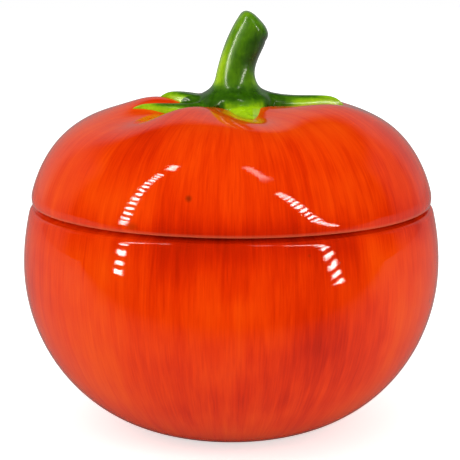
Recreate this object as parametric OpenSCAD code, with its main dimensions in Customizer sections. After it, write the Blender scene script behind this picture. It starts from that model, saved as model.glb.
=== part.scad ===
// Covered jar in the shape of a tomato: a round bowl, and a lobed lid whose knob is the stem with
// five sepals round its base. Z is up, and the origin is the centre of the foot's resting face.

/* [Bowl] */
// Widest radius of the bowl
bowl_r = 63.5; // [60:0.5:75]
// Height of the widest part above the foot
belly_z = 50; // [42:1:56]
// Outer radius of the flat foot
foot_r = 20; // [16:1:28]
// Thickness of the bowl's wall and floor
wall = 4; // [3:0.5:5]
// Depth of the recess inside the foot
recess = 1.6; // [1:0.2:2.4]

/* [Seam between bowl and lid] */
// Outer radius at the seam
seam_r = 61; // [58:0.5:61.5]
// Height of the seam above the foot
seam_z = 69; // [66:1:76]
// Radius of the soft edges on both sides of the seam
edge_r = 0.6; // [0.4:0.1:1]

/* [Lid] */
// Height of the even dome's crest above the foot, before the lobes
crest_z = 98.5; // [94:0.5:104]
// Distance of the crest from the axis
crest_r = 14; // [11:0.5:18]
// Depth of the dimple under the stem
dimple = 4; // [2:0.5:5]
// Number of lobes
lobes = 5; // [4:1:6]
// Depth of the grooves between the lobes
groove = 3.4; // [1:0.2:3.6]
// Depth of the groove under the right-hand sepal, as a share of the others
right_groove = 0.25; // [0:0.05:1]
// Height of the left-hand lobe above the even dome
left_lobe = 2.2; // [0:0.1:2.6]
// Height of the hollow under the lid
hollow_h = 21; // [14:0.5:21]

/* [Locating ring] */
// Radial gap between the ring and the bowl's mouth
ring_gap = 0.7; // [0.4:0.1:1.2]
// Thickness of the ring
ring_t = 2.8; // [2:0.2:3.4]
// Distance that the ring reaches down into the bowl
ring_h = 5; // [3:0.5:8]

/* [Stem] */
// Height of the stem's tip above the foot
stem_z = 126; // [118:1:134]
// Radius of the stem at its waist
stem_r = 5.5; // [4.5:0.1:7]
// Sideways reach of the stem's top from its base
stem_lean = 6.4; // [3:0.2:9]
// Tilt of the cut face at the top of the stem, from level
cut_tilt = 46; // [20:1:50]

/* [Sepals] */
// Length of a sepal from the axis to its tip
sepal_l = 33; // [28:1:35]
// Widest half-width of a sepal
sepal_w = 5.4; // [4:0.2:6]
// Height of a sepal above the surface it lies on
sepal_h = 2; // [1.2:0.2:3]
// Distance from the axis at which a sepal leaves the stem's foot
sepal_root_r = 5; // [4.5:0.5:6]

/* [Hidden] */

mouth_r = seam_r - wall;
ring_or = mouth_r - ring_gap;
ring_ir = ring_or - ring_t;
arc_steps = 24;
lid_sides = 80;
lid_steps = 16;
tube_sides = 28;
leaf_sides = 14;
stem_foot_z = crest_z - dimple - 1.2;
stem_waist_z = crest_z + 8.5;
flare_z = crest_z + 3.1;
cut_z = stem_z - 2.6;
glaze_red = "#e8400c";
glaze_green = "#3f8a1c";
glaze_white = "#f1ead8";
sink = 0.01;

$fn = 96;

// A superellipse quarter from [r0, z0], level there, to [r1, z1], upright there.
function quarter(r0, z0, r1, z1, n, m, steps) = [
    for (i = [0 : steps]) let (t = 90 * i / steps)
        [r0 + (r1 - r0) * pow(sin(t), 2 / n), z1 + (z0 - z1) * pow(cos(t), 2 / m)]
];

// A quarter circle about [r, z] from angle a0 to a1.
function fillet(r, z, rad, a0, a1) = [
    for (i = [0 : 4]) let (a = a0 + (a1 - a0) * i / 4) [r + rad * cos(a), z + rad * sin(a)]
];

// The bowl's shoulder eases in from the belly to the seam.
function shoulder(r0, r1, z1, steps) = [
    for (i = [1 : steps]) let (s = i / steps) [r0 - (r0 - r1) * s * s, belly_z + (z1 - belly_z) * s]
];

// Closed solid through a list of rings that hold the same number of points.
module skin(rings) {
    n = len(rings[0]);
    last = len(rings) - 1;
    sides = [
        for (k = [0 : last - 1], i = [0 : n - 1])
            let (a = k * n + i, b = k * n + (i + 1) % n)
                each [[a, a + n, b + n], [a, b + n, b]]
    ];
    bottom = [for (i = [0 : n - 1]) i];
    top = [for (i = [n - 1 : -1 : 0]) last * n + i];
    polyhedron([for (ring = rings) each ring], concat([bottom, top], sides), convexity = 6);
}

module bowl() {
    color(glaze_red)
        rotate_extrude()
            polygon(concat(
                [[0, recess], [foot_r - wall - 1, recess], [foot_r - wall, 0]],
                quarter(foot_r, 0, bowl_r, belly_z, 1.85, 2, arc_steps),
                shoulder(bowl_r, seam_r, seam_z - edge_r, 8),
                fillet(seam_r - edge_r, seam_z - edge_r, edge_r, 0, 90),
                fillet(mouth_r + edge_r, seam_z - edge_r, edge_r, 90, 180),
                [for (i = [8 : -1 : 1]) shoulder(bowl_r - wall, mouth_r, seam_z - 2 * edge_r, 8)[i - 1]],
                [for (i = [arc_steps : -1 : 1])
                    quarter(0, recess + wall, bowl_r - wall, belly_z, 1.85, 2, arc_steps)[i]],
                [[0, recess + wall]]
            ));
}

// Signed angle from b to a, and a bell curve that is 1 at zero.
function turn_to(a, b) = (a - b + 540) % 360 - 180;
function bell(x) = exp(-x * x);

// 1 along the middle of a groove and 0 on a lobe's crest. The right-hand groove is shallower.
function groove_at(a) =
    pow((1 + cos(lobes * a)) / 2, 2) * (1 - (1 - right_groove) * bell(turn_to(a, 0) / 36));

// Full lobes: angle, distance from the axis, height above the even dome and radial reach.
FULL_LOBES = [
    [36, 28, 1, 11],
    [108, 26, 0.8, 11],
    [180, 23, left_lobe, 9],
    [234, 24, 1.7, 10],
    [336, 33, 1.7, 11],
];

// Height of the surface above the even dome because of one full lobe, and of all of them.
function lobe_lift(r, a, f) = f[2] * bell(turn_to(a, f[0]) / 24) * bell((r - f[1]) / f[3]);
function all_lift(r, a, k = 0) =
    k < len(FULL_LOBES) ? lobe_lift(r, a, FULL_LOBES[k]) + all_lift(r, a, k + 1) : 0;

// Rings of the lid's outside, from its lower edge up to the crests and down into the dimple.
function lid_ring(r, z, depth, tilt) = [
    for (i = [0 : lid_sides - 1])
        let (a = 360 * i / lid_sides, d = depth * groove_at(a), q = r - d * cos(tilt))
            [q * cos(a), q * sin(a), z - d * sin(tilt) + (tilt < 5 ? 0 : all_lift(r, a))]
];

module lid_outside() {
    dome_z = seam_z + edge_r;
    edge = [
        for (p = fillet(seam_r - edge_r, dome_z, edge_r, -90, -20)) lid_ring(p[0], p[1], 0, 0)
    ];
    dome = [
        for (i = [0 : lid_steps])
            let (t = 90 * i / lid_steps, reach = seam_r - crest_r, rise = crest_z - dome_z)
                lid_ring(crest_r + reach * pow(cos(t), 0.51), dome_z + rise * pow(sin(t), 1.42),
                    groove * pow(t / 90, 3), t)
    ];
    hollow = [
        for (q = [0.2 : 0.2 : 0.8])
            lid_ring(crest_r * (1 - q), crest_z - dimple * (1 - cos(180 * q)) / 2,
                groove * (1 - q), 90)
    ];
    skin(concat(edge, dome, hollow));
}

module lid() {
    color(glaze_red)
        difference() {
            lid_outside();
            rotate_extrude()
                polygon(concat(
                    [[0, seam_z - sink], [ring_ir, seam_z - sink]],
                    [for (i = [0 : arc_steps - 1]) let (t = 90 * i / arc_steps)
                        [ring_ir * pow(cos(t), 0.5), seam_z + hollow_h * pow(sin(t), 1.2)]],
                    [[0, seam_z + hollow_h]]
                ));
        }
}

// Plain ring that hangs from the lid's underside into the bowl's mouth.
module lid_flange() {
    taper = 0.6;
    color(glaze_white)
        rotate_extrude()
            polygon(concat(
                [[ring_ir, seam_z], [ring_ir, seam_z - ring_h + edge_r]],
                fillet(ring_ir + edge_r, seam_z - ring_h + edge_r, edge_r, 180, 270),
                fillet(ring_or - edge_r - taper, seam_z - ring_h + edge_r, edge_r, 270, 360),
                [[ring_or, seam_z]]
            ));
}

// The stem stands upright as far as its waist, then leans over towards +X.
function stem_x(z) = 1.2 + stem_lean * pow(max(0, z - stem_waist_z) / (cut_z - stem_waist_z), 1.5);

// The stem flares at its foot, where it runs out into the sepals.
function stem_radius(z) = stem_r + 4.7 * exp((flare_z - max(z, flare_z)) / 2.2);

function stem_ring(x, z, tilt, r) = [
    for (i = [0 : tube_sides - 1])
        let (a = 360 * i / tube_sides)
            [x + r * cos(a) * cos(tilt), r * sin(a), z - r * cos(a) * sin(tilt)]
];

module stem() {
    flare_r = stem_radius(flare_z);
    // Round disc at the middle of the sepals, let into the dimple
    disc = [
        for (p = [[0, -2], [4.6, 0.6], [6.6, 0.9]])
            stem_ring(stem_x(0), stem_foot_z + p[0], 0, flare_r + p[1])
    ];
    shaft = [
        for (i = [0 : 16])
            let (s = i / 16, z = flare_z + (cut_z - 1.2 - flare_z) * s)
                stem_ring(stem_x(z), z, cut_tilt * s * s, stem_radius(z) * (1 - 0.1 * pow(s, 6)))
    ];
    // Soft edge and slightly domed face at the cut
    crown = [
        for (p = [[0.5, 0.8], [0.9, 0.62], [1.1, 0.3]])
            stem_ring(stem_x(cut_z) + p[0] * sin(cut_tilt), cut_z - 1 + p[0] * cos(cut_tilt),
                cut_tilt, stem_r * p[1])
    ];
    color(glaze_green)
        skin(concat(disc, shaft, crown));
}

// Height of a sepal's spine from its root (s = 0) to its tip (s = 1): it dips a little beside the
// stem, swells, and runs down to the tip. drop lowers the tip further.
function spine_z(s, drop) =
    crest_z + sepal_h - sin(180 * min(1, s * 1.7)) - 1.2 * pow(s, 5) - drop * s * s;

// Half-width of a sepal: widest a third of the way out, pointed at the tip.
function leaf_width(s) = sepal_w * (0.12 + 0.88 * pow(sin(45 + 135 * s), 0.8));

// Cross-section of a sepal: a low arch above, and a deeper root below that beds into the lid.
function leaf_ring(reach, s, drop) =
    let (rise = sepal_h * (1 - 0.75 * pow(s, 4)), root = 3.4 * (1 - 0.5 * pow(s, 8)))
        [for (i = [0 : leaf_sides - 1])
            let (a = 360 * i / leaf_sides, reach_z = sin(a) > 0 ? rise : root)
                [reach * s, leaf_width(s) * cos(a), spine_z(s, drop) - rise + reach_z * sin(a)]];

module sepal(angle, reach, drop = 0) {
    steps = 13;
    start = sepal_root_r / reach;
    color(glaze_green)
        rotate([0, 0, angle])
            skin([for (i = [0 : steps]) leaf_ring(reach, start + (1 - start) * i / steps, drop)]);
}

module sepal_right() sepal(3, sepal_l + 1);
module sepal_right_back() sepal(78, sepal_l - 5, 1);
module sepal_left_back() sepal(168, sepal_l - 8);
module sepal_left_front() sepal(201, sepal_l - 1, 0.8);
module sepal_front() sepal(284, sepal_l - 10, 2.6);

bowl();
lid();
lid_flange();
stem();
sepal_right();
sepal_right_back();
sepal_left_back();
sepal_left_front();
sepal_front();
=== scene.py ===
"""Glazed tomato jar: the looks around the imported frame. Metres, Z up, the viewer on the -Y side."""

import math
from collections import namedtuple

import bpy
import numpy as np
from mathutils import Matrix, Vector


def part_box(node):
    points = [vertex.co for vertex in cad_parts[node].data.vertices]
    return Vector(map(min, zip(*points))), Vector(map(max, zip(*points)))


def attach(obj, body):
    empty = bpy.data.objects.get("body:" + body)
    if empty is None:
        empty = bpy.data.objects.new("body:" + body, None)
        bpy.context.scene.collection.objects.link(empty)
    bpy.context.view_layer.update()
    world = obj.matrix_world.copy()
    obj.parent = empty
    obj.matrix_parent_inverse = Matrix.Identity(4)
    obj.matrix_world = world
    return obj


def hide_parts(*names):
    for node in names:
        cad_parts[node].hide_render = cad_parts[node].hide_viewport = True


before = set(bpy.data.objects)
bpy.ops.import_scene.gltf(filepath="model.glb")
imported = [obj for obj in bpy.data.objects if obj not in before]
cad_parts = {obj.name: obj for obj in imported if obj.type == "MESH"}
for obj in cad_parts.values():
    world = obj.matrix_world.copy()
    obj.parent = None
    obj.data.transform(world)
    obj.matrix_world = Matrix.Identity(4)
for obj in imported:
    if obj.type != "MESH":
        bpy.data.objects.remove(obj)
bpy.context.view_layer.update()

# ---------------------------------------------------------------------------
# Sizes, taken from the frame. Shapes are worked out in millimetres.
# ---------------------------------------------------------------------------

MM = 0.001


def box_mm(node):
    """A CAD node's lowest and highest corners, in millimetres."""
    low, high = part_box(node)
    return np.array(low) / MM, np.array(high) / MM


BOWL_R = box_mm("bowl")[1][0]
SEAM_Z = box_mm("bowl")[1][2]
SEAM_R = box_mm("lid")[1][0]
STEM_Z = box_mm("stem")[1][2]
RING_R = box_mm("lid_flange")[1][0]
RING_Z = box_mm("lid_flange")[0][2]

# Bowl
BELLY_Z = 50.0                  # height of the widest place
FOOT_R = 20.0
FOOT_WIDTH = 4.0                # of the ring that the jar stands on
RECESS = 1.6                    # how far the middle of the base is above the table
WALL = 4.0
MOUTH_R = SEAM_R - WALL
EDGE_R = 0.6                    # round of the mouth's inner edge
RIM_ROUND = 1.6                 # round of the rim's outer edge
RIM_DROP = 0.9                  # how far that round is below the bare land
BOWL_UNEVEN = 0.15              # as hand-made ware is
MIDDLE_Z = 55.0                 # height that the brush marks' coordinates turn about

# Lid
CREST_R = 14.0                  # distance of the dome's highest line from the axis
CREST_Z = 98.5
DIMPLE = 4.0                    # how far the middle is below the crest
GROOVE = 3.5                    # depth of a full groove near the crest
GROOVE_ANGLES = (0.0, 72.0, 144.0, 216.0, 288.0)
GROOVE_DEPTHS = (0.25, 0.9, 0.95, 1.05, 0.7)# shares of GROOVE
GROOVE_SPREAD = 17.0            # degrees from a groove's middle to its flank
# Degrees that the grooves turn per millimetre between two distances from the axis, and where they stand
# at their own angles
GROOVE_TURN = 0.22
GROOVE_TURN_FROM = 20.0
GROOVE_TURN_TO = 60.0
GROOVE_OWN_R = 34.0
# Lobes that stand above or below the even dome: angle, distance from the axis, height and radial reach
LOBES = (
    (36.0, 28.0, 1.0, 11.0), (108.0, 26.0, 0.8, 11.0), (180.0, 23.0, 2.2, 9.0), (188.0, 44.0, -0.7, 10.0),
    (234.0, 24.0, 1.7, 10.0), (336.0, 33.0, 1.7, 11.0))
LOBE_SPREAD = 24.0              # the same for a lobe
DOME_POWER = 3.92               # this and the next shape the dome's shoulder
DOME_BULGE = 0.71
RING_INNER_R = RING_R - 2.8
HOLLOW_H = 21.0                 # height of the hollow under the dome
DOME_Z = SEAM_Z + EDGE_R
LIP_ROUND = 0.6
LIP_GAP = 0.25                  # how far the lip's underside is above the land
LIP_TUCK = 0.5                  # how far the lip turns in, over its lowest LIP_TUCK_H
LIP_TUCK_H = 3.0
LIP_Z = SEAM_Z + LIP_GAP
LIP_LEAN = math.atan(2 * LIP_TUCK / LIP_TUCK_H)
LIP_START_Z = LIP_Z + LIP_ROUND * (1 - math.sin(LIP_LEAN))
LIP_TILT = 0.25
LIP_TILT_ANGLE = 190
LIP_RIPPLE = 0.08
LIP_RIPPLE_ANGLE = 40
LID_UNEVEN = 0.12
REST_R = SEAM_R - 2.9           # the lid rests inside this distance from the axis
LAND_R = REST_R - 0.2           # outer edge of the bowl's bare land

# Calyx: the sepals and the stem's foot
CALYX = np.array([1.2, 0.0])    # x and y of the stem's axis
STEM_R = 5.5
FLARE_Z = CREST_Z + 3.1         # this and the next two shape the foot's flare
FLARE_GAIN = 4.7
FLARE_DECAY = 2.2
STEM_JOIN_R = 8.5               # where the stem's piece ends and the sepals' begin
DISC_FULL_R = 9.0               # the foot runs out between here and DISC_R
DISC_R = 12.0
BEDDED = 0.4                    # how far the leaves' edges are below the lid's surface
ROOTED = 1.2                    # how far their undersides are below it
EDGE_FALL = 3.0                 # how far the height drops just past an edge
VEIN = 0.3                      # depth of a leaf's middle vein
ROOT_LIME = 0.17                # 0 is dark green and 1 is lime
TIP_LIME = 0.85

# Stem, above its foot
STALK_R = 6.1                   # where the foot ends and the stalk begins
STALK_RIDGE = 0.015             # height of its ridges, as a share of its radius
WAIST_Z = CREST_Z + 8.5         # it leans over from here up
CUT_Z = STEM_Z - 2.6            # about the middle of the cut end
CUT_TILT = math.radians(46.0)
LEAN = 6.4                      # how far it leans by there
CROWN_H = 3.2                   # how far the soft crown stands out of the cut
CROWN_LEAN = math.radians(38.0)
CROWN_Z = CUT_Z - CROWN_H * math.cos(CROWN_LEAN) + 0.5


# ---------------------------------------------------------------------------
# Mesh helpers
# ---------------------------------------------------------------------------

def make_object(name, points, faces, face_slots=None, materials=()):
    """A mesh object from points in millimetres. face_slots gives each face's material index."""
    mesh = bpy.data.meshes.new(name)
    mesh.from_pydata((np.asarray(points) * MM).tolist(), [], faces)
    for material in materials:
        mesh.materials.append(material)
    if face_slots is not None:
        mesh.polygons.foreach_set("material_index", np.asarray(face_slots, np.int32))
    mesh.polygons.foreach_set("use_smooth", np.ones(len(mesh.polygons), bool))
    mesh.validate()
    mesh.update()
    obj = bpy.data.objects.new(name, mesh)
    bpy.context.scene.collection.objects.link(obj)
    return obj


def add_values(obj, name, values):
    """Stores one number per vertex, which a material reads."""
    layer = obj.data.attributes.new(name, "FLOAT", "POINT")
    layer.data.foreach_set("value", np.asarray(values, np.float32))


def mark_sharp(obj, border):
    """Makes the edges between a border's points sharp, so that the faces on its two sides shade apart."""
    on_border = set(border)
    sharp = [edge.vertices[0] in on_border and edge.vertices[1] in on_border for edge in obj.data.edges]
    layer = obj.data.attributes.new("sharp_edge", "BOOLEAN", "EDGE")
    layer.data.foreach_set("value", sharp)


def ring_faces(rings, sides, loop=False):
    """Quads between neighbouring rings of points, and from the last to the first if it is a loop.

    They face outwards where the rings go downwards on the outside."""
    faces = []
    for k in range(rings if loop else rings - 1):
        a, b = k * sides, (k + 1) % rings * sides
        for i in range(sides):
            j = (i + 1) % sides
            faces.append((a + i, b + i, b + j, a + j))
    return faces


def even_steps(curve, step):
    """The same line through (r, z) points, with points about step apart."""
    curve = np.asarray(curve, float)
    along = np.r_[0, np.cumsum(np.hypot(*np.diff(curve, axis=0).T))]
    count = max(2, int(round(along[-1] / step)) + 1)
    at = np.linspace(0, along[-1], count)
    return np.c_[np.interp(at, along, curve[:, 0]), np.interp(at, along, curve[:, 1])]


def arc(r, z, radius, start, end, count=13):
    """Points on a circular arc about (r, z), with the angles in degrees."""
    a = np.radians(np.linspace(start, end, count))
    return np.c_[r + radius * np.cos(a), z + radius * np.sin(a)]


def outline(*parts):
    """One (r, z) line through several parts, and the material slot of each of its segments.

    Each part is (points, step, slot), and starts where the one before it ends."""
    line, slots = [], []
    for points, step, slot in parts:
        points = even_steps(points, step)
        line += list(points if not line else points[1:])
        slots += [slot] * (len(points) - 1)
    return np.array(line), slots


def spin(profile, sides):
    """Rings of points of a surface of revolution, from an (r, z) line."""
    angles = np.linspace(0, 2 * np.pi, sides, endpoint=False)
    r, z = profile[:, 0][:, None], profile[:, 1][:, None]
    return np.stack([r * np.cos(angles), r * np.sin(angles), z + 0 * angles], axis=-1)


def slab_faces(along_count, across_count):
    """Faces of a closed slab between two grids of points, the upper one first, and the upper one's border."""
    below = along_count * across_count
    faces = []
    for i in range(along_count - 1):
        for j in range(across_count - 1):
            a = i * across_count + j
            b = a + across_count
            faces.append((a, b, b + 1, a + 1))
            faces.append((below + a, below + a + 1, below + b + 1, below + b))
    border = (list(range(across_count - 1))
              + [i * across_count + across_count - 1 for i in range(along_count - 1)]
              + [(along_count - 1) * across_count + j for j in range(across_count - 1, 0, -1)]
              + [i * across_count for i in range(along_count - 1, 0, -1)])
    for a, b in zip(border, border[1:] + border[:1]):
        faces.append((a, b, below + b, below + a))
    return faces, border


def turned_solid(name, rings, poles, slots, materials):
    """Closed solid from rings of points and the heights of the two points on the axis that close it.

    slots gives the material of each segment of the line from the first of those points to the last."""
    count, sides = rings.shape[:2]
    first, last = count * sides, count * sides + 1
    faces, face_slots = [], []
    for i in range(sides):
        faces.append((first, i, (i + 1) % sides))
    face_slots += [slots[0]] * sides
    faces += ring_faces(count, sides)
    for slot in slots[1:-1]:
        face_slots += [slot] * sides
    for i in range(sides):
        faces.append(((count - 1) * sides + i, last, (count - 1) * sides + (i + 1) % sides))
    face_slots += [slots[-1]] * sides
    points = np.vstack([rings.reshape(-1, 3), [[0.0, 0.0, z] for z in poles]])
    return make_object(name, points, faces, face_slots, materials)


# ---------------------------------------------------------------------------
# Shape of the tomato
# ---------------------------------------------------------------------------

def angle_between(a, b):
    """Signed difference of two angles in degrees, from -180 to 180."""
    return (a - b + 180.0) % 360.0 - 180.0


def ease(value, low, high):
    """0 below low and 1 above high, smooth between them. The other way round if low is the higher."""
    t = np.clip((value - low) / (high - low), 0.0, 1.0)
    return t * t * (3.0 - 2.0 * t)


def groove_at(degrees, radius):
    """1 along the middle of a groove, 0 on a lobe. The grooves turn a little as they run outwards."""
    total = 0.0
    for middle, depth in zip(GROOVE_ANGLES, GROOVE_DEPTHS):
        turned = middle + GROOVE_TURN * (np.clip(radius, GROOVE_TURN_FROM, GROOVE_TURN_TO) - GROOVE_OWN_R)
        total = total + depth * np.exp(-(angle_between(degrees, turned) / GROOVE_SPREAD) ** 2)
    return total


def dome_reach(radius):
    """0 on the crest and 1 at the seam."""
    return np.clip((radius - CREST_R) / (SEAM_R - CREST_R), 0.0, 1.0)


def lid_height(radius):
    """Height of the smooth dome at a distance from the axis, before the grooves."""
    dome = DOME_Z + (CREST_Z - DOME_Z) * (1.0 - dome_reach(radius) ** DOME_POWER) ** DOME_BULGE
    inward = np.clip(1.0 - radius / CREST_R, 0.0, 1.0)
    return dome - DIMPLE * (1.0 - np.cos(np.pi * inward)) / 2.0


def dome_radius(height):
    """Distance of the dome's outside from the axis at a height."""
    share = (np.maximum(height - DOME_Z, 0.0) / (CREST_Z - DOME_Z)) ** (1.0 / DOME_BULGE)
    return CREST_R + (SEAM_R - CREST_R) * (1.0 - share) ** (1.0 / DOME_POWER)


def slope_angle(radius):
    """0 at the rim, where the wall is upright, and 90 degrees on the crest."""
    return np.degrees(np.arccos(dome_reach(radius) ** (DOME_POWER / 2.0)))


def groove_depth(radius, degrees):
    """Depth of the surface under the even dome: grooves lie below it and full lobes above."""
    fade = np.clip(radius / CREST_R, 0.0, 1.0)
    depth = GROOVE * (slope_angle(radius) / 90.0) ** 3.0 * fade * groove_at(degrees, radius)
    for angle, distance, lift, reach in LOBES:
        across = angle_between(degrees, angle) / LOBE_SPREAD
        along = (radius - distance) / reach
        depth = depth - lift * np.exp(-across ** 2 - along ** 2)
    return depth


def lid_surface(x, y):
    """Height of the lid's outside over a point near its top."""
    radius = np.hypot(x, y)
    degrees = np.degrees(np.arctan2(y, x))
    return lid_height(radius) - groove_depth(radius, degrees)


def hand_made(points, amount):
    """Slow unevenness of up to an amount, as slip-cast and hand-fettled ware has."""
    wave_size = 30.0
    x, y, z = (points[..., i] / wave_size for i in range(3))
    wave = (np.sin(1.3 * x + 0.7 * y + 2.1 * z) + np.sin(2.3 * y - 1.1 * z + 0.9)
            + 0.6 * np.sin(3.1 * z + 1.9 * x + 2.2) + 0.5 * np.sin(4.3 * x - 3.7 * y + 0.4))
    highest = 3.1
    return amount * wave / highest


def push_out(points, distance):
    """Moves points away from the jar's axis by a distance each."""
    radius = np.maximum(np.hypot(points[..., 0], points[..., 1]), 1e-6)
    moved = points.copy()
    moved[..., 0] += points[..., 0] / radius * distance
    moved[..., 1] += points[..., 1] / radius * distance
    return moved


# ---------------------------------------------------------------------------
# Materials
# ---------------------------------------------------------------------------

def linear(hex_colour):
    """A hex colour as linear RGBA."""
    channels = [int(hex_colour[i:i + 2], 16) / 255 for i in (1, 3, 5)]
    return tuple(c / 12.92 if c <= 0.04045 else ((c + 0.055) / 1.055) ** 2.4 for c in channels) + (1.0,)


class Nodes:
    """Short way to write a node tree: most calls add one node and return its output."""

    def __init__(self, tree):
        self.tree = tree
        self.tree.nodes.clear()

    def put(self, socket, value):
        """Links a node's output to a socket, or sets the socket's own value."""
        if isinstance(value, bpy.types.NodeSocket):
            self.tree.links.new(value, socket)
        elif value is not None:
            socket.default_value = value

    def node(self, kind, inputs=(), **settings):
        """A new node, with its inputs by name or number and its settings."""
        new = self.tree.nodes.new(kind)
        for key, value in settings.items():
            setattr(new, key, value)
        for key, value in dict(inputs).items():
            self.put(new.inputs[key], value)
        return new

    def math(self, operation, a, b=None):
        """Result of a Math node on one or two values."""
        new = self.node("ShaderNodeMath", operation=operation)
        self.put(new.inputs[0], a)
        self.put(new.inputs[1], b)
        return new.outputs[0]

    def total(self, *terms):
        """Sum of (value, weight) pairs."""
        result = None
        for value, weight in terms:
            term = self.math("MULTIPLY", value, weight)
            result = term if result is None else self.math("ADD", result, term)
        return result

    def noise(self, vector, scale, detail=3.0, roughness=0.5, distortion=0.0):
        """Cloudy noise from 0 to 1. A larger scale makes it finer."""
        new = self.node("ShaderNodeTexNoise", {
            "Vector": vector, "Scale": scale, "Detail": detail, "Roughness": roughness,
            "Distortion": distortion})
        return new.outputs["Fac"]

    def band(self, value, low, high):
        """0 below low and 1 above high, smooth between them. The other way round if low is the higher."""
        new = self.node("ShaderNodeMapRange", {
            "Value": value, "From Min": low, "From Max": high}, interpolation_type="SMOOTHSTEP")
        return new.outputs["Result"]

    def patch(self, position, centre, reach):
        """Soft patch about a point: 1 there, and 0 at reach (x, y, z) millimetres away from it."""
        away = self.node("ShaderNodeVectorMath", {0: position, 1: centre}, operation="SUBTRACT").outputs[0]
        share = self.node("ShaderNodeVectorMath", {0: away, 1: reach}, operation="DIVIDE").outputs[0]
        length = self.node("ShaderNodeVectorMath", {0: share}, operation="LENGTH").outputs["Value"]
        return self.band(length, 1.0, 0.1)

    def mix(self, factor, a, b):
        """Colour a where the factor is 0 and b where it is 1."""
        new = self.node("ShaderNodeMix", data_type="RGBA")
        self.put(new.inputs["Factor"], factor)
        self.put(new.inputs[6], a)
        self.put(new.inputs[7], b)
        return new.outputs[2]

    def mix_number(self, factor, a, b):
        """Number a where the factor is 0 and b where it is 1."""
        new = self.node("ShaderNodeMix", data_type="FLOAT")
        self.put(new.inputs["Factor"], factor)
        self.put(new.inputs[2], a)
        self.put(new.inputs[3], b)
        return new.outputs[0]

    def ramp(self, value, stops):
        """Colour that runs through (value, hex colour) stops."""
        new = self.node("ShaderNodeValToRGB", {"Fac": value})
        elements = new.color_ramp.elements
        while len(elements) < len(stops):
            elements.new(0.5)
        for element, (position, colour) in zip(elements, stops):
            element.position = position
            element.color = linear(colour)
        return new.outputs["Color"]

    def vector(self, x, y, z):
        """Vector from three numbers."""
        new = self.node("ShaderNodeCombineXYZ")
        for i, value in enumerate((x, y, z)):
            self.put(new.inputs[i], value)
        return new.outputs[0]


class Finish(Nodes):
    """A material with a Principled surface."""

    def __init__(self, name):
        self.material = bpy.data.materials.new(name)
        self.material.use_nodes = True
        super().__init__(self.material.node_tree)
        self.surface = self.node("ShaderNodeBsdfPrincipled")
        self.node("ShaderNodeOutputMaterial", {"Surface": self.surface.outputs[0]})

    def bump(self, height, distance, strength=1.0):
        """Fine relief on the surface, up to a distance in metres deep."""
        new = self.node("ShaderNodeBump", {"Strength": strength, "Distance": distance, "Height": height})
        self.put(self.surface.inputs["Normal"], new.outputs[0])

    def set(self, **values):
        """Sets the surface's inputs, with _ for each space in a name."""
        for key, value in values.items():
            self.put(self.surface.inputs[key.replace("_", " ")], value)


def millimetres(n):
    """Object coordinates in millimetres: the vector, and its x, y and z."""
    position = n.node("ShaderNodeTexCoord").outputs["Object"]
    scaled = n.node("ShaderNodeVectorMath", {0: position, "Scale": 1 / MM}, operation="SCALE").outputs[0]
    split = n.node("ShaderNodeSeparateXYZ", {0: scaled})
    return (scaled, *split.outputs)


def brush_coordinates(n, x, y, z, stretch):
    """Coordinates that run round the jar in millimetres, and slowly from its foot to its stem."""
    radius = n.math("SQRT", n.math("ADD", n.math("MULTIPLY", x, x), n.math("MULTIPLY", y, y)))
    safe = n.math("MAXIMUM", radius, 0.5)
    around_x = n.math("MULTIPLY", n.math("DIVIDE", x, safe), BOWL_R)
    around_y = n.math("MULTIPLY", n.math("DIVIDE", y, safe), BOWL_R)
    climb = n.math("ARCTAN2", n.math("SUBTRACT", z, MIDDLE_Z), safe)
    return n.vector(around_x, around_y, n.math("MULTIPLY", climb, BOWL_R * stretch))


# Places on the jar, each a centre and a reach: a darker coat of red with painted shade under the lid's lip at
# the seam, a darker coat of red lower down, a pinhole and a smudge
SEAM_COAT_AND_SHADE = ((4.0, -60.0, 66.0), (50.0, 40.0, 15.0))
COAT_BELOW = ((20.0, -54.0, 28.0), (34.0, 40.0, 60.0))
PINHOLE = ((-11.4, -57.0, 79.5), (1.3, 3.0, 1.3))
SMUDGE = ((-26.8, -54.5, 71.4), (2.8, 4.0, 1.8))


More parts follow.
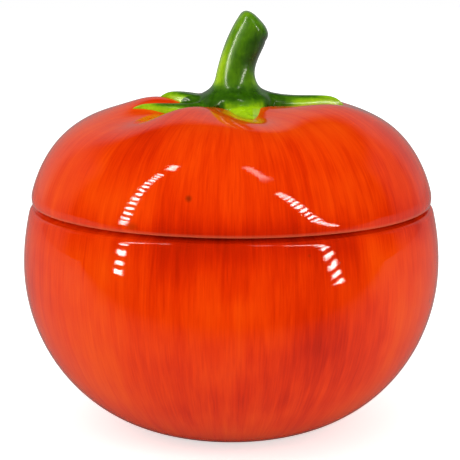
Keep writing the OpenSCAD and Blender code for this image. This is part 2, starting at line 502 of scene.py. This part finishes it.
def red_glaze():
    """Orange-red underglaze brushed on along the meridians, under a hard clear glaze. Its colour also holds
    painted shade by the seam, painted light towards the foot and a painted highlight on the lid's lip.
    """
    n = Finish("red_glaze")
    position, x, y, z = millimetres(n)
    hairs = n.noise(brush_coordinates(n, x, y, z, stretch=0.06), 1.9, 4.0, 0.6, distortion=0.1)
    strokes = n.noise(brush_coordinates(n, x, y, z, stretch=0.10), 0.33, 3.0, 0.55, distortion=0.4)
    clouds = n.noise(position, 0.035, 2.0, 0.5)
    # Darker at the front of the seam: partly a thicker coat of red, partly painted shade from the lid's
    # overhang
    seam_coat_and_shade = n.patch(position, *SEAM_COAT_AND_SHADE)
    coat_below = n.patch(position, *COAT_BELOW)
    # Darker within 9 mm of the seam, all round: partly thicker paint, partly painted shade where the lid
    # meets the bowl
    seam_paint_and_shade = n.band(n.math("ABSOLUTE", n.math("SUBTRACT", z, SEAM_Z)), 9.0, 0.5)
    # Lighter towards the foot: painted light, standing in for light from the table
    low = n.band(z, 30.0, 4.0)
    tone = n.total((hairs, 0.24), (strokes, 0.28), (clouds, 0.48), (seam_coat_and_shade, -0.08), (coat_below, -0.11),
                   (seam_paint_and_shade, -0.09), (low, 0.10))
    colour = n.ramp(tone, [
        (0.20, "#ac1a00"), (0.33, "#cb2300"), (0.43, "#df3000"), (0.52, "#ec3e02"), (0.66, "#f65006")])
    cells = n.node("ShaderNodeTexVoronoi", {"Vector": position, "Scale": 0.085}, feature="F1")
    speck = n.band(cells.outputs["Distance"], 0.065, 0.02)
    parts = n.node("ShaderNodeSeparateXYZ", {0: cells.outputs["Color"]})
    chosen = n.math("GREATER_THAN", parts.outputs[0], 0.72)
    colour = n.mix(n.math("MULTIPLY", n.math("MULTIPLY", speck, chosen), 0.5), colour, linear("#6a2a04"))
    pinhole = n.math("MULTIPLY", n.patch(position, *PINHOLE), 0.7)
    smudge = n.math("MULTIPLY", n.patch(position, *SMUDGE), 0.35)
    marks = n.math("MAXIMUM", pinhole, smudge)
    colour = n.mix(marks, colour, linear("#6e2404"))
    # Salmon on the lid's lip: the glaze thinning over the edge, with a painted highlight along it
    thin_and_highlight = n.node("ShaderNodeAttribute", attribute_name="thin_glaze_and_highlight").outputs["Fac"]
    colour = n.mix(n.math("MULTIPLY", thin_and_highlight, 0.75), colour, linear("#d4633f"))
    peel = n.noise(position, 0.30, 2.0, 0.5)
    n.bump(n.total((peel, 0.75), (hairs, 0.25)), 0.00005, 0.5)
    n.set(Base_Color=colour, IOR=1.52)
    n.set(Roughness=n.total((strokes, 0.025), (clouds, 0.025)))
    return n.material


def green_glaze(name, gloss, coat_ior, ripple):
    """Green underglaze that thins to lime at the leaves' tips and edges, under the same clear glaze."""
    n = Finish(name)
    position, x, y, z = millimetres(n)
    # On the stem the lime value also holds painted light and painted shade
    lime = n.node("ShaderNodeAttribute", attribute_name="lime").outputs["Fac"]
    cloud = n.noise(position, 0.32, 4.0, 0.6, 0.4)
    streak = n.noise(n.vector(x, y, n.math("MULTIPLY", z, 0.2)), 0.8, 4.0, 0.6)
    uneven = n.total((n.math("SUBTRACT", cloud, 0.5), 0.40), (n.math("SUBTRACT", streak, 0.5), 0.30))
    tone = n.math("ADD", lime, uneven)
    colour = n.ramp(tone, [
        (0.00, "#1c4000"), (0.20, "#326200"), (0.42, "#548a00"), (0.68, "#8cc004"), (0.95, "#b4e410")])
    peel = n.noise(position, 0.5, 2.0, 0.5)
    n.bump(n.total((peel, 0.7), (streak, 0.3)), 0.00007, ripple)
    n.set(Base_Color=colour, IOR=1.52, Specular_IOR_Level=0.1)
    n.set(Coat_Weight=0.85, Coat_Roughness=gloss, Coat_IOR=coat_ior)
    n.set(Roughness=n.math("ADD", 0.22, n.math("MULTIPLY", cloud, 0.08)))
    return n.material


def cream_glaze():
    """White-bodied inside of the jar under clear glaze, with a faint craze."""
    n = Finish("cream_glaze")
    position = millimetres(n)[0]
    cloud = n.noise(position, 0.05, 3.0, 0.5)
    colour = n.ramp(cloud, [(0.3, "#ded3bd"), (0.55, "#ece4d3"), (0.8, "#f3eee1")])
    crackle = n.node("ShaderNodeTexVoronoi", {"Vector": position, "Scale": 0.22}, feature="DISTANCE_TO_EDGE")
    line = n.band(crackle.outputs["Distance"], 0.018, 0.002)
    colour = n.mix(n.math("MULTIPLY", line, 0.22), colour, linear("#a8906c"))
    n.bump(n.noise(position, 0.3, 2.0, 0.5), 0.00006, 0.5)
    n.set(Base_Color=colour, IOR=1.52)
    n.set(Roughness=n.math("ADD", 0.05, n.math("MULTIPLY", cloud, 0.06)))
    return n.material


def bare_clay():
    """Fired clay left without glaze where the jar rests on the table and the lid on the bowl."""
    n = Finish("bare_clay")
    position = millimetres(n)[0]
    grain = n.noise(position, 2.2, 4.0, 0.7)
    cloud = n.noise(position, 0.2, 3.0, 0.6)
    colour = n.ramp(n.total((grain, 0.5), (cloud, 0.5)), [
        (0.3, "#a58c6c"), (0.5, "#cdb797"), (0.7, "#e2d2b8")])
    n.bump(grain, 0.00015, 0.7)
    n.set(Base_Color=colour, IOR=1.45)
    n.set(Roughness=n.math("ADD", 0.65, n.math("MULTIPLY", grain, 0.25)))
    return n.material


RED, CREAM, CLAY = red_glaze(), cream_glaze(), bare_clay()
GREEN = green_glaze("green_glaze", 0.12, 1.5, 0.6)
STEM_GREEN = green_glaze("stem_glaze", 0.18, 1.7, 0.9)
JAR_MATERIALS = (RED, CREAM, CLAY)
RED_SLOT, CREAM_SLOT, CLAY_SLOT = range(3)


# ---------------------------------------------------------------------------
# Bowl
# ---------------------------------------------------------------------------

def quarter(r0, z0, r1, z1, count=60):
    """Superellipse quarter that is level at (r0, z0) and upright at (r1, z1)."""
    flatness = 1.85
    t = np.linspace(0, np.pi / 2, count)
    return np.c_[r0 + (r1 - r0) * np.sin(t) ** (2 / flatness), z1 + (z0 - z1) * np.cos(t)]


def shoulder(r0, r1, z1, share=1.0, count=40):
    """Eases in from the belly towards the seam. share is how much of the way it goes."""
    s = np.linspace(0, share, count)
    return np.c_[r0 - (r0 - r1) * s * s, BELLY_Z + (z1 - BELLY_Z) * s]


def build_bowl():
    """Turned shell: from the middle of the inside, over the rim and down to the middle of the foot."""
    sides = 360
    foot_inner = FOOT_R - FOOT_WIDTH
    seam_side_z = SEAM_Z - EDGE_R
    lean = math.atan(2 * (BOWL_R - SEAM_R) / (seam_side_z - BELLY_Z))
    rim_z = SEAM_Z - RIM_DROP
    rim_start_z = rim_z - RIM_ROUND * (1 - math.sin(lean))
    side = shoulder(BOWL_R, SEAM_R, seam_side_z, (rim_start_z - BELLY_Z) / (seam_side_z - BELLY_Z))
    rim_r = side[-1][0] - RIM_ROUND * math.cos(lean)
    rim = arc(rim_r, rim_z - RIM_ROUND, RIM_ROUND, 90, math.degrees(lean))
    profile, slots = outline(
        (quarter(0.0, RECESS + WALL, BOWL_R - WALL, BELLY_Z), 1.4, CREAM_SLOT),
        (shoulder(BOWL_R - WALL, MOUTH_R, seam_side_z), 1.0, CREAM_SLOT),
        (arc(MOUTH_R + EDGE_R, seam_side_z, EDGE_R, 180, 90), 0.15, CREAM_SLOT),
        ([[MOUTH_R + EDGE_R, SEAM_Z], [LAND_R, SEAM_Z]], 0.4, CLAY_SLOT),
        ([[LAND_R, SEAM_Z], [rim_r, rim_z]], 0.2, RED_SLOT),
        (rim, 0.2, RED_SLOT),
        (side[::-1], 0.8, RED_SLOT),
        (quarter(FOOT_R, 0.0, BOWL_R, BELLY_Z)[::-1], 0.8, RED_SLOT),
        ([[FOOT_R, 0.0], [foot_inner, 0.0]], 0.8, CLAY_SLOT),
        (arc(foot_inner, RECESS, RECESS, 270, 180), 0.3, CREAM_SLOT),
        ([[foot_inner - RECESS, RECESS], [0.0, RECESS]], 1.2, CREAM_SLOT))
    rings = spin(profile[1:-1], sides)
    z = profile[1:-1, 1]
    belly = ease(z, 2.0, 20.0) * ease(z, SEAM_Z - 1.0, SEAM_Z - 9.0)
    rings = push_out(rings, hand_made(rings, BOWL_UNEVEN) * belly[:, None])
    return turned_solid("bowl_body", rings, (RECESS + WALL, RECESS), slots, JAR_MATERIALS)


# ---------------------------------------------------------------------------
# Lid
# ---------------------------------------------------------------------------

def lid_outline():
    """Line from the dimple over the lip to the hollow, its slots, and how far out its underside is flat.

    The dome's points are spaced by their distance from the axis on top, and by their height on the side."""
    top_r = 55.0
    side_heights = np.linspace(lid_height(top_r), LIP_START_Z, 160)
    radii = np.r_[np.linspace(0.0, top_r, 160), dome_radius(side_heights)]
    dome = np.c_[radii, np.r_[lid_height(radii[:-1]), LIP_START_Z]]
    dome[:, 0] -= LIP_TUCK * np.clip(1 - (dome[:, 1] - LIP_START_Z) / LIP_TUCK_H, 0, 1) ** 2
    lip_r = dome[-1, 0] - LIP_ROUND * math.cos(LIP_LEAN)
    lip = arc(lip_r, LIP_Z + LIP_ROUND, LIP_ROUND, -math.degrees(LIP_LEAN), -90)
    t = np.radians(np.linspace(0, 90, 60))
    hollow = np.c_[RING_INNER_R * np.cos(t) ** 0.5, SEAM_Z + HOLLOW_H * np.sin(t) ** 1.2]
    hollow[-1, 0] = 0.0
    profile, slots = outline(
        (dome, 0.7, RED_SLOT),
        (lip, 0.12, RED_SLOT),
        ([[lip_r, LIP_Z], [REST_R + LIP_GAP, LIP_Z], [REST_R, SEAM_Z]], 0.4, RED_SLOT),
        ([[REST_R, SEAM_Z], [RING_INNER_R, SEAM_Z]], 0.8, CLAY_SLOT),
        (hollow, 1.4, CREAM_SLOT))
    return profile, slots, lip_r


def lip_wave(degrees):
    """How far the lip stands above or below an even one: tilted a little, with three ripples round it."""
    ripples = LIP_RIPPLE * np.sin(np.radians(3 * degrees + LIP_RIPPLE_ANGLE)) ** 3
    return ripples + LIP_TILT * np.cos(np.radians(degrees - LIP_TILT_ANGLE))


def build_lid():
    """Dome with grooves, a soft lip that turns in a little, a flat land and a hollow underside."""
    sides = 480
    profile, slots, lip_r = lid_outline()
    line = profile[1:-1]
    r, z = line[:, 0], line[:, 1]
    rings = spin(line, sides)
    angles = np.linspace(0, 360, sides, endpoint=False)
    outside = (np.arange(len(line)) < slots.index(CLAY_SLOT)) & (z > LIP_START_Z + 0.01)
    depth = groove_depth(line[:, :1], angles[None, :]) * outside[:, None]
    tilt = np.radians(slope_angle(line[:, :1]))
    rings = push_out(rings, -depth * np.cos(tilt))
    rings[..., 2] -= depth * np.sin(tilt)
    uneven = outside * ease(z, LIP_START_Z, LIP_START_Z + 9.0) * ease(r, 14.0, 30.0)
    rings = push_out(rings, hand_made(rings, LID_UNEVEN) * uneven[:, None])
    near_lip = ease(z, LIP_START_Z + LIP_TUCK_H, LIP_START_Z) * (r > lip_r - 0.1)
    rings[..., 2] += near_lip[:, None] * lip_wave(angles)
    lid = turned_solid("lid_dome", rings, (lid_height(0.0), SEAM_Z + HOLLOW_H), slots, JAR_MATERIALS)
    # Where the lip's salmon goes: glaze thinning over the edge, and a painted highlight along it
    thin_and_highlight = ease(z, LIP_START_Z + 0.2, LIP_START_Z - 0.15) * (r > lip_r + 0.1)
    add_values(lid, "thin_glaze_and_highlight", np.r_[np.repeat(thin_and_highlight, sides), 0.0, 0.0])
    return lid


def build_ring():
    """Locating ring under the lid, with soft edges and a little draft."""
    sides = 240
    soft = 0.7
    draft = 0.6
    profile, _slots = outline(
        ([[RING_R, SEAM_Z], [RING_R - draft, RING_Z + soft]], 0.5, 0),
        (arc(RING_R - soft - draft, RING_Z + soft, soft, 360, 270), 0.2, 0),
        ([[RING_R - soft - draft, RING_Z], [RING_INNER_R + soft, RING_Z]], 0.5, 0),
        (arc(RING_INNER_R + soft, RING_Z + soft, soft, 270, 180), 0.2, 0),
        ([[RING_INNER_R, RING_Z + soft], [RING_INNER_R, SEAM_Z]], 0.5, 0))
    points = spin(profile, sides).reshape(-1, 3)
    return make_object("lid_ring_piece", points, ring_faces(len(profile), sides, loop=True), None, (CREAM,))


# ---------------------------------------------------------------------------
# Calyx: one height field shared by the stem's foot and the five sepals
# ---------------------------------------------------------------------------

# Angle at the root and how far it turns by the tip (degrees), length and half-width, how far the spine
# is above the dome's crest at each share of the length in RISE_AT, and how lime the middle is
Sepal = namedtuple("Sepal", "root turn length half_width rises lime")
RISE_AT = (0.2, 0.36, 0.5, 0.68, 0.85, 1.0)
SEPALS = {
    "sepal_right": Sepal(2.0, 1.0, 33.0, 5.0, (4.4, 3.3, 2.6, 2.6, 2.3, 1.2), 0.22),
    "sepal_right_back": Sepal(76.0, 4.0, 27.0, 5.2, (2.6, 1.8, 1.4, 1.2, 0.8, 0.0), 0.25),
    "sepal_left_back": Sepal(171.0, 4.0, 23.0, 7.0, (2.8, 2.6, 2.9, 3.5, 3.5, 2.6), 0.22),
    "sepal_left_front": Sepal(205.0, -9.0, 32.0, 4.6, (2.4, 1.3, 0.8, 0.9, 0.9, 0.1), 0.20),
    "sepal_front": Sepal(286.0, -2.0, 21.8, 6.2, (2.6, 1.8, 0.9, -0.4, -1.3, -1.7), 0.85),
}


def flare_height(radius):
    """The stem's foot runs out level: height of its surface at a distance from the stem's axis."""
    return FLARE_Z - FLARE_DECAY * np.log(np.maximum(radius - STEM_R, 0.05) / FLARE_GAIN)


def leaf_shape(s):
    """Half-width of a sepal along its length, as a share of the widest."""
    root_angle, power, narrowest = 50, 1.1, 0.02
    angle = np.radians(root_angle + (180 - root_angle) * np.clip(s, 0, 1))
    return (1 - narrowest) * np.sin(angle) ** power + narrowest


def leaf_field(name, x, y):
    """Height of one sepal's top, and how far a point is along it (0 to 1) and across it (-1 to 1)."""
    off_leaf = 9.0
    tip_round = 0.16
    vein_width = 0.2
    least_rise = 0.6
    leaf = SEPALS[name]
    dx, dy = x - CALYX[0], y - CALYX[1]
    radius = np.hypot(dx, dy)
    s = radius / leaf.length
    off = np.radians(angle_between(np.degrees(np.arctan2(dy, dx)), leaf.root + leaf.turn * s))
    across = radius * np.sin(np.clip(off, -np.pi / 2, np.pi / 2)) / (leaf.half_width * leaf_shape(s))
    across = np.where(np.abs(off) > np.pi / 2, off_leaf, across)
    rise = np.polyval(np.polyfit(RISE_AT, leaf.rises, 4), np.clip(s, RISE_AT[0], 1.0))
    vein = VEIN * np.exp(-(across / vein_width) ** 2) * ease(s, 0.35, 0.5) * ease(s, 0.95, 0.75)
    ground = lid_surface(x, y) - BEDDED
    round_off = np.abs(across) ** 2.4 + np.clip((s - 1 + tip_round) / tip_round, 0, 2) ** 2.2
    swell = np.sqrt(np.clip(1 - round_off, 0, 1))
    top = ground + (np.maximum(CREST_Z + rise - ground, least_rise) - vein) * swell
    return top - EDGE_FALL * np.clip(round_off - 1, 0, 1), s, across


def calyx_height(x, y):
    """Height of the smooth union of the stem's flared foot and all the sepals."""
    soft = 0.5
    radius = np.hypot(x - CALYX[0], y - CALYX[1])
    ground = lid_surface(x, y) - BEDDED
    edge = np.clip((radius - DISC_FULL_R) / (DISC_R - DISC_FULL_R), 0, 1)
    disc = ground + (flare_height(radius) - ground) * np.sqrt(np.clip(1 - edge ** 3, 0, 1))
    disc = disc - EDGE_FALL * np.clip(radius - DISC_R, 0, 1)
    fields = [disc] + [leaf_field(name, x, y)[0] for name in SEPALS]
    highest = np.max(fields, axis=0)
    return highest + soft * np.log(sum(np.exp((f - highest) / soft) for f in fields))


def sector_edges(name):
    """Angles half way to the neighbouring sepals, at the root."""
    order = sorted(SEPALS, key=lambda key: SEPALS[key].root)
    k = order.index(name)
    here = SEPALS[name].root
    before = SEPALS[order[k - 1]].root - (360 if k == 0 else 0)
    after = SEPALS[order[(k + 1) % len(order)]].root + (360 if k == len(order) - 1 else 0)
    return (here + before) / 2, (here + after) / 2


def sepal_grid(name, along_count, across_count):
    """Grid of points over one sepal, along it and across it: x, y and the distance from the stem's axis.

    Near the stem the grid spreads out to meet the neighbours' grids."""
    sector_r, leaf_r = 10.0, 12.5
    leaf = SEPALS[name]
    low, high = sector_edges(name)
    reach = np.linspace(STEM_JOIN_R / leaf.length, 1.0, along_count)[:, None]
    spread = np.linspace(-1, 1, across_count)
    spread = np.sign(spread) * (1 - (1 - np.abs(spread)) ** 1.5)
    radius = reach * leaf.length
    middle = leaf.root + leaf.turn * reach
    half = np.degrees(np.arcsin(np.clip(leaf.half_width * leaf_shape(reach) / radius, 0, 0.999)))
    whole_sector = ease(radius, leaf_r, sector_r)
    left = np.maximum(middle - half - 90 * whole_sector, low)
    right = np.minimum(middle + half + 90 * whole_sector, high)
    angle = np.radians(np.where(spread < 0, middle + (middle - left) * spread,
                                middle + (right - middle) * spread))
    return CALYX[0] + radius * np.cos(angle), CALYX[1] + radius * np.sin(angle), radius


def sepal_lime(name, x, y, radius):
    """How lime a sepal is: most at its edges and tip, and as dark as the stem's foot at its root."""
    leaf = SEPALS[name]
    _top, s, across = leaf_field(name, x, y)
    edge = ease(np.abs(across), 0.45, 0.95) * ease(s, 0.45, 0.6)
    tip = ease(s, 0.62, 0.92)
    on_leaf = ease(radius, 10.4, 12.8) * ease(np.abs(across), 1.3, 1.0)
    outwards = np.maximum(edge, 0.8 * tip)
    return ROOT_LIME + on_leaf * (leaf.lime - ROOT_LIME + (TIP_LIME - leaf.lime) * outwards)


def build_sepal(name):
    """Closed solid under the shared height field: one sepal from the stem's foot to its tip."""
    along_count, across_count = 90, 49
    thinnest = 0.5
    x, y, radius = sepal_grid(name, along_count, across_count)
    z = calyx_height(x, y)
    buried = np.minimum(lid_surface(x, y) - ROOTED, z - thinnest)
    top = np.stack([x, y, z], -1).reshape(-1, 3)
    bottom = np.stack([x, y, buried], -1).reshape(-1, 3)
    faces, border = slab_faces(along_count, across_count)
    piece = make_object(name + "_leaf", np.vstack([top, bottom]), faces, None, (GREEN,))
    mark_sharp(piece, border)
    lime = sepal_lime(name, x, y, radius).reshape(-1)
    add_values(piece, "lime", np.r_[lime, lime])
    return piece


# ---------------------------------------------------------------------------
# Stem
# ---------------------------------------------------------------------------

def tilted_ring(centre_x, centre_z, radius, tilt, angles):
    """Ring of points about the leaning stem's axis, tilted towards +X."""
    return np.stack([centre_x + radius * np.cos(angles) * math.cos(tilt),
                     radius * np.sin(angles),
                     centre_z - radius * np.cos(angles) * math.sin(tilt)], -1)


def stalk_middle(z):
    """How far to the right the stalk's middle is at a height. It leans over above the waist."""
    return CALYX[0] + LEAN * (max(0, z - WAIST_Z) / (CUT_Z - WAIST_Z)) ** 1.5


def foot_rings(angles):
    """Rings from the base inside the lid's dimple, up to the sepals and in to the stalk."""
    rings = []
    for radius in np.linspace(STEM_JOIN_R, STALK_R, 14):
        x, y = CALYX[0] + radius * np.cos(angles), CALYX[1] + radius * np.sin(angles)
        rings.append(np.stack([x, y, calyx_height(x, y)], -1))
    base = rings[0].copy()
    base[:, 2] = CREST_Z - DIMPLE - ROOTED
    return [base] + rings


def stalk_rings(angles, ridge):
    """Rings up the stalk, which turn from level to the slant of its cut end."""
    foot_z = float(flare_height(STALK_R))
    rings = []
    for s in np.linspace(0, 1, 50)[1:]:
        z = foot_z + (CROWN_Z - foot_z) * s
        radius = (STEM_R + FLARE_GAIN * math.exp((FLARE_Z - z) / FLARE_DECAY)) * (1 + ridge * min(1, s * 3))
        rings.append(tilted_ring(stalk_middle(z), z, radius, CUT_TILT * s ** 2, angles))
    return rings


def crown_rings(angles, ridge):
    """Rings over the soft crown of the cut end."""
    rings = []
    for t in np.radians(np.linspace(4, 88, 20)):
        up = CROWN_H * math.sin(t) ** 0.8
        radius = STEM_R * math.cos(t) ** 0.75 * (1 + ridge * math.cos(t))
        rings.append(tilted_ring(stalk_middle(CROWN_Z) + up * math.sin(CROWN_LEAN),
                                 CROWN_Z + up * math.cos(CROWN_LEAN), radius, CUT_TILT, angles))
    return rings


def build_stem():
    """Stalk that flares into the calyx, leans over to the right and ends in a slanting soft cut."""
    sides = 96
    angles = np.linspace(0, 2 * np.pi, sides, endpoint=False)
    ridge = STALK_RIDGE * np.cos(7 * angles - 1.47)
    rings = foot_rings(angles) + stalk_rings(angles, ridge) + crown_rings(angles, ridge)
    rings = np.array(rings[::-1])
    count = len(rings)
    faces = ring_faces(count, sides)
    faces.append(tuple(range(sides)))
    faces.append(tuple(count * sides - 1 - i for i in range(sides)))
    stem = make_object("stem_knob", rings.reshape(-1, 3), faces, None, (STEM_GREEN,))
    mark_sharp(stem, [(count - 2) * sides + i for i in range(sides)])
    height = (rings[..., 2] - FLARE_Z) / (CUT_Z - FLARE_Z)
    # The stem's lime values hold painted light and painted shade
    add_values(stem, "lime", stem_lime_light_and_shade(height, np.degrees(angles)[None, :]).reshape(-1))
    return stem


def stem_lime_light_and_shade(height, degrees):
    """How lime the stem is, with painted light and shade: a lit lime streak up its left, facing the left
    lamp, and a lit patch low on its right, facing the right lamp, both painted light; dark round the foot,
    and painted shade under the lean.
    """
    # Painted light: the left side, which faces the left lamp
    left = np.exp(-(angle_between(degrees, 206) / 30) ** 2)
    # Painted light: low on the right, which faces the right lamp
    right = np.exp(-(angle_between(degrees, 335) / 22) ** 2)
    # Painted shade under the lean
    under = np.exp(-(angle_between(degrees, 325) / 50) ** 2)
    lime = 0.34 + 0.58 * left * (0.3 + 0.7 * ease(height, 0.75, 0.45))
    lime = lime + 0.30 * right * ease(height, 0.32, 0.1)
    lime = ROOT_LIME + (lime - ROOT_LIME) * ease(height, 0.05, 0.20)
    return lime - 0.34 * under * ease(height, 0.25, 0.5) * ease(height, 1.0, 0.7)


# ---------------------------------------------------------------------------
# Pieces, bodies and slots
# ---------------------------------------------------------------------------

def place(piece, node, body):
    """Puts a piece in a CAD node's place, on a body."""
    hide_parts(node)
    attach(piece, body)


place(build_bowl(), "bowl", "bowl")
place(build_lid(), "lid", "lid")
place(build_ring(), "lid_flange", "lid_ring")
place(build_stem(), "stem", "lid")
for sepal in SEPALS:
    place(build_sepal(sepal), sepal, "lid")


# ---------------------------------------------------------------------------
# Studio
# ---------------------------------------------------------------------------

FILL_LEVEL = 0.405
FILL_FROM_ABOVE = 0.48
SIDE_LEVEL = 0.13
BACKDROP_LEVEL = 0.14
TABLE_FRONT_Y = -0.18
TABLE_BRIGHT_Y = -0.05
TABLE_HALF = 3.0
TABLE_GLOW = 0.62
MIRRORED_TABLE = 0.30
MIRRORED_DARK = 0.01
WHITE = (1.0, 1.0, 1.0, 1.0)
LAMP_DISTANCE = 0.8
LAMP_COLOUR = (1.0, 0.95, 0.86)
JAR_MIDDLE = Vector((0.0, 0.0, 0.08))
CAMERA_AT = Vector((-0.0004, -0.42, 0.1445))
CAMERA_PITCH = 11.44
CAMERA_LENS = 108.9


def grey(level):
    """Linear grey, as RGBA."""
    return (level, level, level, 1.0)


def build_floor():
    """Pale matt table. The glaze mirrors it dimmer than it looks, and dark in front of TABLE_FRONT_Y."""
    n = Finish("studio_floor")
    position, _x, y, _z = millimetres(n)
    shade = n.noise(position, 0.01, 2.0, 0.5)
    paper = n.ramp(shade, [(0.2, "#edecea"), (0.8, "#f2f1f0")])
    rays = n.node("ShaderNodeLightPath").outputs
    table = n.band(y, TABLE_FRONT_Y / MM, TABLE_BRIGHT_Y / MM)
    mirrored = n.mix(table, grey(MIRRORED_DARK), grey(MIRRORED_TABLE))
    n.set(Base_Color=n.mix(rays["Is Glossy Ray"], paper, mirrored), Roughness=0.9, Specular_IOR_Level=0.0)
    n.set(Emission_Color=WHITE)
    n.set(Emission_Strength=n.math("MULTIPLY", rays["Is Camera Ray"], TABLE_GLOW))
    n.material.cycles.emission_sampling = "NONE"
    half = TABLE_HALF
    mesh = bpy.data.meshes.new("floor")
    corners = [(-half, -half, 0), (half, -half, 0), (half, half, 0), (-half, half, 0)]
    mesh.from_pydata(corners, [], [(0, 1, 2, 3)])
    mesh.materials.append(n.material)
    floor = bpy.data.objects.new("floor", mesh)
    bpy.context.scene.collection.objects.link(floor)


def build_world():
    """Soft light for matt colours, stronger from above, and white for the eye. The glaze mirrors a pale
    backdrop behind and beside the jar, and a dark room in front of it and above."""
    world = bpy.data.worlds.new("studio")
    bpy.context.scene.world = world
    world.use_nodes = True
    world.cycles.sampling_method = "NONE"
    n = Nodes(world.node_tree)
    direction = n.node("ShaderNodeTexCoord").outputs["Generated"]
    _x, y, z = n.node("ShaderNodeSeparateXYZ", {0: direction}).outputs
    backdrop = n.total((n.band(y, 0.10, 0.32), SIDE_LEVEL), (n.band(y, 0.58, 0.74), BACKDROP_LEVEL))
    mirrored = n.math("ADD", n.math("MULTIPLY", backdrop, n.band(z, 0.66, 0.50)), MIRRORED_DARK)
    rays = n.node("ShaderNodeLightPath").outputs
    fill = n.math("ADD", FILL_LEVEL, n.math("MULTIPLY", z, FILL_FROM_ABOVE))
    level = n.mix_number(rays["Is Diffuse Ray"], mirrored, fill)
    level = n.math("MAXIMUM", level, rays["Is Camera Ray"])
    background = n.node("ShaderNodeBackground", {"Color": WHITE, "Strength": level})
    n.node("ShaderNodeOutputWorld", {"Surface": background.outputs[0]})


def around(azimuth, elevation):
    """Point at the lamps' level distance from the jar's axis. Azimuth 0 is towards the viewer."""
    a, e = math.radians(azimuth), math.radians(elevation)
    flat = Vector((math.sin(a), -math.cos(a), 0.0)) * LAMP_DISTANCE
    return JAR_MIDDLE + flat + Vector((0.0, 0.0, LAMP_DISTANCE * math.tan(e)))


def strip_lamp(name, low, high, width, radiance, slats):
    """Lamp between two points, facing the jar. Its light comes through slats, or is one soft patch if 0."""
    long_way = high - low
    light = bpy.data.lights.new(name, "AREA")
    light.shape = "RECTANGLE"
    light.size, light.size_y = width, long_way.length
    light.energy = radiance * math.pi * width * long_way.length
    light.color = LAMP_COLOUR
    light.use_nodes = True
    n = Nodes(light.node_tree)
    place_on = n.node("ShaderNodeNewGeometry").outputs["Parametric"]
    u, v, _w = n.node("ShaderNodeSeparateXYZ", {0: place_on}).outputs
    if slats:
        wave = n.math("SINE", n.math("MULTIPLY", v, 2 * math.pi * slats))
        strength = n.band(wave, 0.0, 0.35)
    else:
        from_middle = n.math("MAXIMUM", n.math("ABSOLUTE", n.math("SUBTRACT", u, 0.5)),
                             n.math("ABSOLUTE", n.math("SUBTRACT", v, 0.5)))
        strength = n.band(from_middle, 0.5, 0.25)
    emission = n.node("ShaderNodeEmission", {"Strength": strength})
    n.node("ShaderNodeOutputLight", {"Surface": emission.outputs[0]})
    lamp = bpy.data.objects.new(name, light)
    middle = (low + high) / 2
    up = long_way.normalized()
    across = up.cross(middle - JAR_MIDDLE).normalized()
    lamp.matrix_world = Matrix((across, up, across.cross(up))).transposed().to_4x4()
    lamp.location = middle
    lamp.visible_camera = False
    bpy.context.scene.collection.objects.link(lamp)


def build_camera():
    """Seen from the front and a little above: the eye is higher than the stem's tip and looks down."""
    camera = bpy.data.cameras.new("camera")
    camera.sensor_width = 36.0
    camera.lens = CAMERA_LENS
    camera.clip_start, camera.clip_end = 0.01, 20.0
    view = bpy.data.objects.new("camera", camera)
    view.location = CAMERA_AT
    view.rotation_euler = (math.radians(90.0 - CAMERA_PITCH), 0.0, 0.0)
    bpy.context.scene.collection.objects.link(view)
    bpy.context.scene.camera = view


build_floor()
build_world()
strip_lamp("lamp_left", around(-59, -3), around(-57, 52), width=0.07, radiance=30.0, slats=16)
strip_lamp("lamp_left_spot", around(-54, 55), around(-58, 62), width=0.13, radiance=20.0, slats=0)
strip_lamp("lamp_right", around(56.5, -6), around(30.5, 41), width=0.065, radiance=30.0, slats=16)
strip_lamp("lamp_right_spot", around(30, 50), around(20, 70), width=0.14, radiance=6.0, slats=0)
build_camera()
bpy.context.scene.view_settings.view_transform = "Standard"
